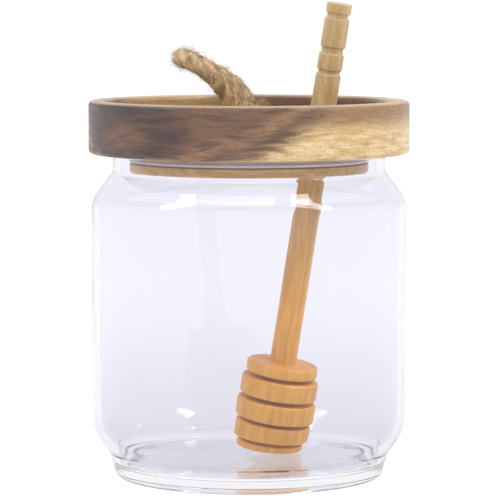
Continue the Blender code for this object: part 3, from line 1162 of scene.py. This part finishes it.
@dataclass
class RopeLoop:
    """The jute rope: three twisted plies along the loop, with loose fibres standing off them."""

    radius: float = 2.75 * MM
    plies: int = 3
    ply_radius: float = 1.58 * MM
    lay_length: float = 17.0 * MM
    ring_step: float = 0.25 * MM
    sides: int = 44
    yarns: int = 11
    yarn_depth: float = 0.05
    yarn_twist: float = 900.0
    lump_depth: float = 0.12
    lump_scales: Colour = (9.0, 1.2, 420.0)
    curve_parts: int = 40
    fibre_count: int = 2600
    fibre_ends: Span = (0.12, 0.9)
    fibre_root: float = 0.9
    fibre_lengths: Span = (1.8, 6.0)
    raised_share: float = 0.2
    raised_lift: Span = (0.25, 0.8)
    low_lift: Span = (0.02, 0.2)
    sway: Span = (-0.7, 0.7)
    fibre_radius: float = 0.05 * MM
    tip_loss: float = 0.75
    tuft_count: int = 170
    tuft_start: tuple[Span, ...] = ((0.4, 2.4), (-1.6, 1.0), (-1.2, 2.6))
    tuft_reach: tuple[Span, ...] = ((0.8, 5.0), (-1.6, 1.6), (0.2, 3.6))
    tuft_sag: Span = (0.2, 1.4)
    map_reach: float = 5.0
    map_step: float = 0.4
    lid_clearance: float = 109.7 * MM
    seed: int = 11

    def route(self) -> list[Vector]:
        """Points at equal steps along one smooth curve through the route's own points.

        Returns:
            The points, from one end in the lid's hole to the other.
        """
        knots = [Vector(point) * MM for point in ROPE_ROUTE_MM]
        knots = [2 * knots[0] - knots[1], *knots, 2 * knots[-1] - knots[-2]]
        fine: list[Vector] = []
        for a, b, c, d in zip(knots, knots[1:], knots[2:], knots[3:]):
            for i in range(self.curve_parts):
                t = i / self.curve_parts
                square = (2 * a - 5 * b + 4 * c - d) * t * t
                cube = (3 * b - a - 3 * c + d) * t * t * t
                fine.append(0.5 * (2 * b + (c - a) * t + square + cube))
        fine.append(knots[-2])
        total = sum((q - p).length for p, q in zip(fine, fine[1:]))
        count = round(total / self.ring_step)
        spacing = total / count
        even, walked, goal = [fine[0]], 0.0, spacing
        for p, q in zip(fine, fine[1:]):
            span = (q - p).length
            while walked + span >= goal - 1e-9 and len(even) < count:
                even.append(p.lerp(q, (goal - walked) / span))
                goal += spacing
            walked += span
        return [*even, fine[-1]]

    @staticmethod
    def frames(line: list[Vector]) -> list[Matrix]:
        """A frame at each point that turns as little as it can, with its Z along the line."""
        tangents = [(b - a).normalized() for a, b in zip(line, line[1:])]
        tangents.append(tangents[-1])
        side = tangents[0].orthogonal().normalized()
        frames = []
        for i, (point, along) in enumerate(zip(line, tangents)):
            if i:
                side = tangents[i - 1].rotation_difference(along) @ side
            side = (side - along * side.dot(along)).normalized()
            turn = Matrix((side, along.cross(side), along)).transposed().to_4x4()
            frames.append(Matrix.Translation(point) @ turn)
        return frames

    @staticmethod
    def skin(bm: BMesh, rows: list[list[bmesh.types.BMVert]], maps: Maps) -> None:
        """Joins rings of points to a closed tube.

        Args:
            bm: the mesh to add to.
            rows: the rings.
            maps: gives the four map corners of the face at a ring and a side.
        """
        uv_layer = bm.loops.layers.uv.verify()
        sides = len(rows[0])
        for i, (low, high) in enumerate(zip(rows, rows[1:])):
            for side in range(sides):
                after = (side + 1) % sides
                face = bm.faces.new((low[side], low[after], high[after], high[side]))
                for loop, place in zip(face.loops, maps(i, side)):
                    loop[uv_layer].uv = place
        bm.faces.new(list(reversed(rows[0])))
        bm.faces.new(rows[-1])

    def ply(self, bm: BMesh, frames: list[Matrix], number: int) -> None:
        """Adds one ply: a ridged tube that winds round the rope's line.

        Args:
            bm: the mesh to add to.
            frames: the rope's frames.
            number: which ply.
        """
        rows = []
        winding = self.radius - self.ply_radius
        by_ply, by_angle, by_length = self.lump_scales
        for i, place in enumerate(frames):
            along = i * self.ring_step
            phase = math.tau * (along / self.lay_length + number / self.plies)
            centre = Vector((math.cos(phase), math.sin(phase), 0.0)) * winding
            row = []
            for side in range(self.sides):
                angle = math.tau * side / self.sides
                yarn = math.cos(self.yarns * (angle - phase) - along * self.yarn_twist)
                spot = Vector((number * by_ply, angle * by_angle, along * by_length))
                relief = self.yarn_depth * yarn + self.lump_depth * noise.noise(spot)
                size = self.ply_radius * (1.0 + relief)
                arm = Vector((math.cos(angle), math.sin(angle), 0.0)) * size
                row.append(bm.verts.new(place @ (centre + arm)))
            rows.append(row)

        def maps(i: int, side: int) -> list[Span]:
            """The face's place on the map: round the ply across, and its length in mm up."""
            left, right = (number + (side + more) / self.sides for more in (0, 1))
            low, high = ((i + more) * self.ring_step / MM for more in (0, 1))
            return [(left, low), (right, low), (right, high), (left, high)]

        self.skin(bm, rows, maps)

    def fibres(self, frames: list[Matrix], finish: Material) -> Object:
        """Builds the loose fibres: thin bent slivers that stand off the rope."""
        draw = random.Random(self.seed)
        bm = bmesh.new()
        first, last = (round(len(frames) * share) for share in self.fibre_ends)
        for _ in range(self.fibre_count):
            place = frames[draw.randint(first, last)]
            angle = draw.uniform(0.0, math.tau)
            out = place.to_3x3() @ Vector((math.cos(angle), math.sin(angle), 0.0))
            along = place.to_3x3() @ Vector((0.0, 0.0, draw.choice((-1.0, 1.0))))
            side = out.cross(along)
            start = place.translation + out * self.radius * self.fibre_root
            length = draw.uniform(*self.fibre_lengths) * MM
            raised = draw.random() < self.raised_share
            lift = draw.uniform(*(self.raised_lift if raised else self.low_lift))
            sway = draw.uniform(*self.sway)
            points = []
            for t in QUARTERS:
                rise = out * length * lift * t * (0.4 + 0.6 * t)
                points.append(start + along * length * t + rise + side * length * sway * t * t)
            self.sliver(bm, points, draw.random() * self.map_reach)
        self.tuft(bm, draw)
        return placed("rope_loose_fibres", bm, finish, Sharpness.ALL_SMOOTH)

    def tuft(self, bm: BMesh, draw: random.Random) -> None:
        """Adds the frayed strands that spread over the lid at the foot of the rope's right side."""
        foot = Vector(ROPE_ROUTE_MM[-4]) * MM
        for _ in range(self.tuft_count):
            start = foot + Vector([draw.uniform(*span) for span in self.tuft_start]) * MM
            reach = Vector([draw.uniform(*span) for span in self.tuft_reach]) * MM
            sag = Vector((0.0, 0.0, -draw.uniform(*self.tuft_sag))) * MM
            points = [start + reach * t + sag * t * t for t in QUARTERS]
            points = [Vector((p.x, p.y, max(p.z, self.lid_clearance))) for p in points]
            self.sliver(bm, points, draw.random() * self.map_reach)

    def sliver(self, bm: BMesh, points: list[Vector], shift: float) -> None:
        """Adds one three-sided fibre that thins to its tip, at its own place on the map."""
        rows = []
        for i, point in enumerate(points):
            ahead = points[min(i + 1, len(points) - 1)] - points[max(i - 1, 0)]
            across = ahead.orthogonal().normalized()
            other = ahead.cross(across).normalized()
            size = self.fibre_radius * (1.0 - self.tip_loss * i / (len(points) - 1))
            turns = (0.0, math.tau / 3, 2 * math.tau / 3)
            arms = [(across * math.cos(a) + other * math.sin(a)) * size for a in turns]
            rows.append([bm.verts.new(point + arm) for arm in arms])
        self.skin(bm, rows, lambda i, side: 4 * [(shift, i * self.map_step + shift)])

    def build(self, finish: Material) -> Pieces:
        """Args:
            finish: the jute.

        Returns:
            The rope and its fibres.
        """
        line = self.route()
        frames = self.frames(line)
        bm = bmesh.new()
        bm.loops.layers.uv.new(FIBRE_MAP)
        for number in range(self.plies):
            self.ply(bm, frames, number)
        bmesh.ops.recalc_face_normals(bm, faces=bm.faces[:])
        rope = placed("rope_three_ply", bm, finish, Sharpness.ALL_SMOOTH)
        claim(rope, Slot.ROPE, "rope_loop")
        loose = claim(self.fibres(frames, finish), Slot.ROPE)
        loose.data.uv_layers[0].name = FIBRE_MAP
        return [rope, loose]


# Studio


@dataclass(frozen=True)
class SoftBox:
    """One soft box: where it stands in metres, its width and height, and its power in watts."""

    name: str
    place: Colour
    size: Span
    power: float


@dataclass
class Studio:
    """The pale floor, the soft light and the camera."""

    camera_distance: float = 913.54 * MM
    camera_height: float = 152.9 * MM
    camera_side: float = 0.31 * MM
    pitch_deg: float = 5.158
    focal_pixels: float = 2928.8
    frame_pixels: float = 500.0
    sensor: float = 36.0
    floor_reach: float = 60.0
    floor_sides: int = 96
    sky: Colour = (1.0, 1.0, 1.0)
    sky_strength: float = 1.0
    target: Colour = (0.0, 0.0, 0.07)
    boxes: tuple[SoftBox, ...] = (
        SoftBox("left_box", (-0.99, -0.32, 1.15), (0.22, 0.8), 4.0),
        SoftBox("right_box", (0.905, -0.44, 1.18), (0.23, 1.0), 7.5),
        SoftBox("top_box", (-0.15, -0.42, 1.6), (1.1, 0.5), 3.0),
    )

    def camera(self) -> None:
        """Places the camera at the photograph's viewing angle."""
        data = bpy.data.cameras.new("camera")
        data.sensor_width = self.sensor
        data.lens = self.focal_pixels / self.frame_pixels * self.sensor
        data.clip_end = 4 * self.floor_reach
        obj = linked("camera", data)
        obj.location = (self.camera_side, -self.camera_distance, self.camera_height)
        obj.rotation_euler = (math.radians(90.0 - self.pitch_deg), 0.0, 0.0)
        bpy.context.scene.camera = obj

    def floor(self, finish: Material) -> None:
        """Builds the floor, a wide round table that reaches past the horizon of every view."""
        bm = bmesh.new()
        shape = {"radius": self.floor_reach, "segments": self.floor_sides}
        bmesh.ops.create_circle(bm, cap_ends=True, cap_tris=True, **shape)
        bmesh.ops.recalc_face_normals(bm, faces=bm.faces[:])
        bmesh.ops.reverse_faces(bm, faces=[face for face in bm.faces if face.normal.z < 0.0])
        placed("studio_floor", bm, finish, Sharpness.ALL_SMOOTH)

    def lights(self) -> None:
        """Sets the even sky and the soft boxes."""
        world = bpy.data.worlds.new("studio_sky")
        world.use_nodes = True
        sky = world.node_tree.nodes["Background"]
        sky.inputs["Color"].default_value = (*self.sky, 1.0)
        sky.inputs["Strength"].default_value = self.sky_strength
        bpy.context.scene.world = world
        for box in self.boxes:
            data = bpy.data.lights.new(box.name, "AREA")
            data.shape = "RECTANGLE"
            data.size, data.size_y = box.size
            data.energy = box.power
            obj = linked(box.name, data)
            obj.location = box.place
            aim = Vector(self.target) - Vector(box.place)
            obj.rotation_euler = aim.to_track_quat("-Z", "Y").to_euler()

    def build(self) -> None:
        """Builds the studio."""
        bpy.context.scene.view_settings.view_transform = "Standard"
        self.camera()
        self.floor(StudioFinish().build())
        self.lights()


def main() -> None:
    """Builds the studio and every piece, and reports each."""
    logging.basicConfig(level=logging.INFO, format="%(name)s: %(message)s")
    Studio().build()
    shared = SharedEffects(wood_fibre_group(), handling_group())
    dipper = Dipper()
    along_x = Quaternion((0.0, 1.0, 0.0), math.radians(90.0))
    plug_wood = TurnedWoodFinish(
        name="plug_wood",
        light=(0.95, 0.57, 0.20),
        deep=(0.60, 0.32, 0.09),
        pore=(0.3, 0.15, 0.07),
        axis=Quaternion(),
    )
    dipper_wood = TurnedWoodFinish(
        name="dipper_wood",
        light=(0.88, 0.435, 0.06),
        deep=(0.68, 0.295, 0.03),
        pore=(0.36, 0.14, 0.035),
        axis=along_x @ dipper.turn().inverted(),
        # A painted pale sheen on the dipper's upper part.
        fade=(0.64, 0.95, 3.9),
        roughness=0.38,
    )
    rope_hole = Hole(Vector((0.0, 0.0, 0.0)), ROPE_HOLE_RADIUS)
    dipper_hole = Hole(dipper.crossing(), DIPPER_HOLE_RADIUS)
    pieces = RopeLoop().build(JuteFinish().build())
    pieces += GlassJar().build(GlassFinish().build(shared))
    pieces += WoodenLid().build(AcaciaFinish().build(shared), (rope_hole, dipper_hole))
    pieces += LidPlug().build(plug_wood.build(shared), (dipper_hole,))
    pieces += SealRing().build(SiliconeFinish().build(shared))
    pieces += dipper.build(dipper_wood.build(shared))
    for piece in pieces:
        LOG.info("%s: %d faces", piece.name, len(piece.data.polygons))


if __name__ == "__main__":
    main()
